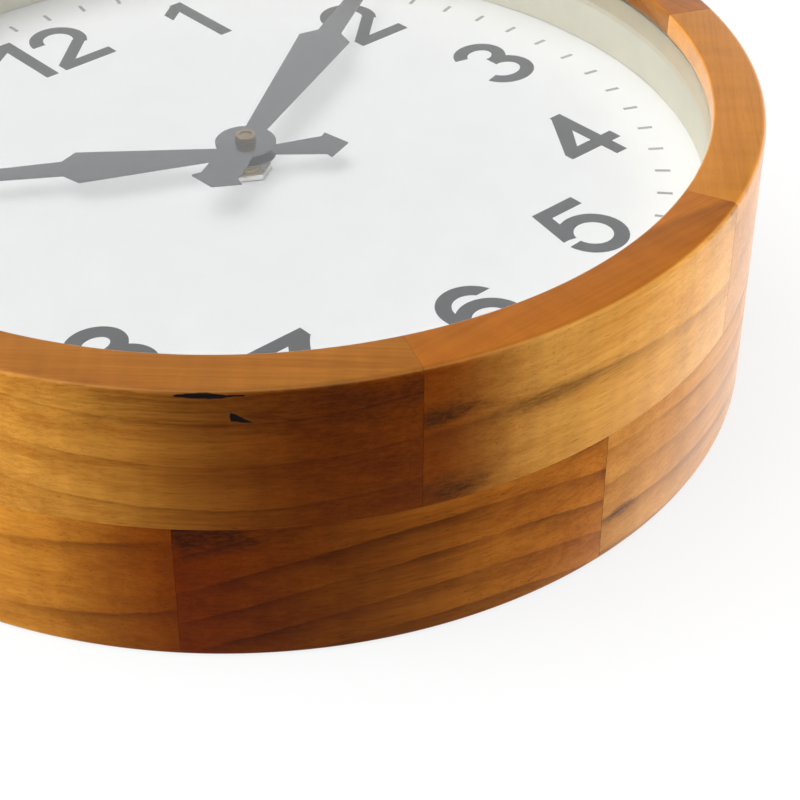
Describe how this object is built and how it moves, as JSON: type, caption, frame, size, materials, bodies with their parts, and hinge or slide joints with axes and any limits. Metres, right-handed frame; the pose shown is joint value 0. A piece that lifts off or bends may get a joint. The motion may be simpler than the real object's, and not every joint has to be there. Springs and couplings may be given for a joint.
{
  "type": "wall clock",
  "caption": "Round wall clock in a deep ring of glued wooden blocks, with flat glass, a white numbered dial, two metal hands and a battery movement that turns them.",
  "frame": {"origin": "centre of the back plane, where the case rests on a wall or lies on a table", "axes": "+Z out of the dial along the hands' axis, +Y to twelve o'clock, +X to three o'clock"},
  "size_m": [0.25, 0.25, 0.07],
  "materials": {
    "wood": "oiled satin, open grain",
    "glass": "clear flat glass",
    "spacer": "cream, matt",
    "dial": "white coated, matt, dark grey print",
    "board": "raw fibreboard",
    "hands": "dark grey, satin",
    "brass": "turned",
    "nickel": "nickel plated",
    "steel": "zinc plated",
    "rubber": "matt",
    "housing": "moulded black",
    "wheels": "moulded off-white",
    "magnet": "sintered",
    "copper": "enamelled copper wire",
    "circuit": "green laminate",
    "battery": "plain dark sleeve"
  },
  "bodies": {
    "clock_case": {"front_block_1": "wood", "front_block_2": "wood", "front_block_3": "wood", "front_block_4": "wood", "front_block_5": "wood", "front_block_6": "wood", "front_block_7": "wood", "front_block_8": "wood", "back_block_1": "wood", "back_block_2": "wood", "back_block_3": "wood", "back_block_4": "wood", "back_block_5": "wood", "back_block_6": "wood", "back_block_7": "wood", "back_block_8": "wood", "glass": "glass", "spacer_ring": "spacer", "dial_plate": "dial", "backing_board": "board", "retainer_clip_1": "steel", "retainer_clip_2": "steel", "retainer_clip_3": "steel", "retainer_clip_4": "steel", "clip_screw_1": "steel", "clip_screw_2": "steel", "clip_screw_3": "steel", "clip_screw_4": "steel", "hanger_block": "wood", "hanger_plate": "steel", "hanger_screw_1": "steel", "hanger_screw_2": "steel", "threaded_stem": "brass", "stem_nut": "nickel", "rubber_washer": "rubber", "movement_case": "housing", "movement_cover": "housing", "stator": "steel", "coil_core": "steel", "coil_bobbin": "wheels", "coil_winding": "copper", "circuit_board": "circuit", "quartz_crystal": "nickel", "battery": "battery", "battery_plus_contact": "nickel", "battery_minus_contact": "nickel"},
    "minute_work": {"minute_arbor": "brass", "minute_hand": "hands", "minute_hand_bush": "brass"},
    "hour_work": {"hour_wheel": "wheels", "hour_hand": "hands", "hour_hand_collet": "brass"},
    "motion_wheel": {"motion_wheel": "wheels"},
    "setting_knob": {"setting_knob": "housing"},
    "centre_wheel": {"centre_wheel": "wheels"},
    "third_wheel": {"third_wheel": "wheels"},
    "fourth_wheel": {"fourth_wheel": "wheels"},
    "fifth_wheel": {"fifth_wheel": "wheels"},
    "rotor": {"rotor": "magnet"}
  },
  "joints": [
    {"name": "minute_turn", "type": "hinge", "parent": "clock_case", "child": "minute_work", "pos_m": [0, 0, 0.045], "axis": [0, 0, 1], "continuous": true},
    {"name": "hour_turn", "type": "hinge", "parent": "clock_case", "child": "hour_work", "pos_m": [0, 0, 0.045], "axis": [0, 0, 1], "continuous": true},
    {"name": "motion_wheel_turn", "type": "hinge", "parent": "clock_case", "child": "motion_wheel", "pos_m": [0.00752, 0.00274, 0.033], "axis": [0, 0, 1], "continuous": true},
    {"name": "setting_knob_turn", "type": "hinge", "parent": "clock_case", "child": "setting_knob", "pos_m": [0.01317, 0.00839, 0.026], "axis": [0, 0, 1], "continuous": true},
    {"name": "centre_wheel_turn", "type": "hinge", "parent": "clock_case", "child": "centre_wheel", "pos_m": [0, 0, 0.03], "axis": [0, 0, 1], "continuous": true},
    {"name": "third_wheel_turn", "type": "hinge", "parent": "clock_case", "child": "third_wheel", "pos_m": [-0.00918, 0, 0.028], "axis": [0, 0, 1], "continuous": true},
    {"name": "fourth_wheel_turn", "type": "hinge", "parent": "clock_case", "child": "fourth_wheel", "pos_m": [-0.00708, 0.00782, 0.028], "axis": [0, 0, 1], "continuous": true},
    {"name": "fifth_wheel_turn", "type": "hinge", "parent": "clock_case", "child": "fifth_wheel", "pos_m": [-0.00116, 0.00998, 0.028], "axis": [0, 0, 1], "continuous": true},
    {"name": "rotor_turn", "type": "hinge", "parent": "clock_case", "child": "rotor", "pos_m": [0.00154, 0.01466, 0.028], "axis": [0, 0, 1], "continuous": true}
  ],
  "couplings": [
    {"joint": "hour_turn", "follows": "minute_turn", "ratio": 0.083333},
    {"joint": "motion_wheel_turn", "follows": "minute_turn", "ratio": -0.33333},
    {"joint": "setting_knob_turn", "follows": "minute_turn", "ratio": 1},
    {"joint": "centre_wheel_turn", "follows": "minute_turn", "ratio": 1},
    {"joint": "third_wheel_turn", "follows": "minute_turn", "ratio": -7.5},
    {"joint": "fourth_wheel_turn", "follows": "minute_turn", "ratio": 60},
    {"joint": "fifth_wheel_turn", "follows": "minute_turn", "ratio": -360},
    {"joint": "rotor_turn", "follows": "minute_turn", "ratio": 1800}
  ]
}
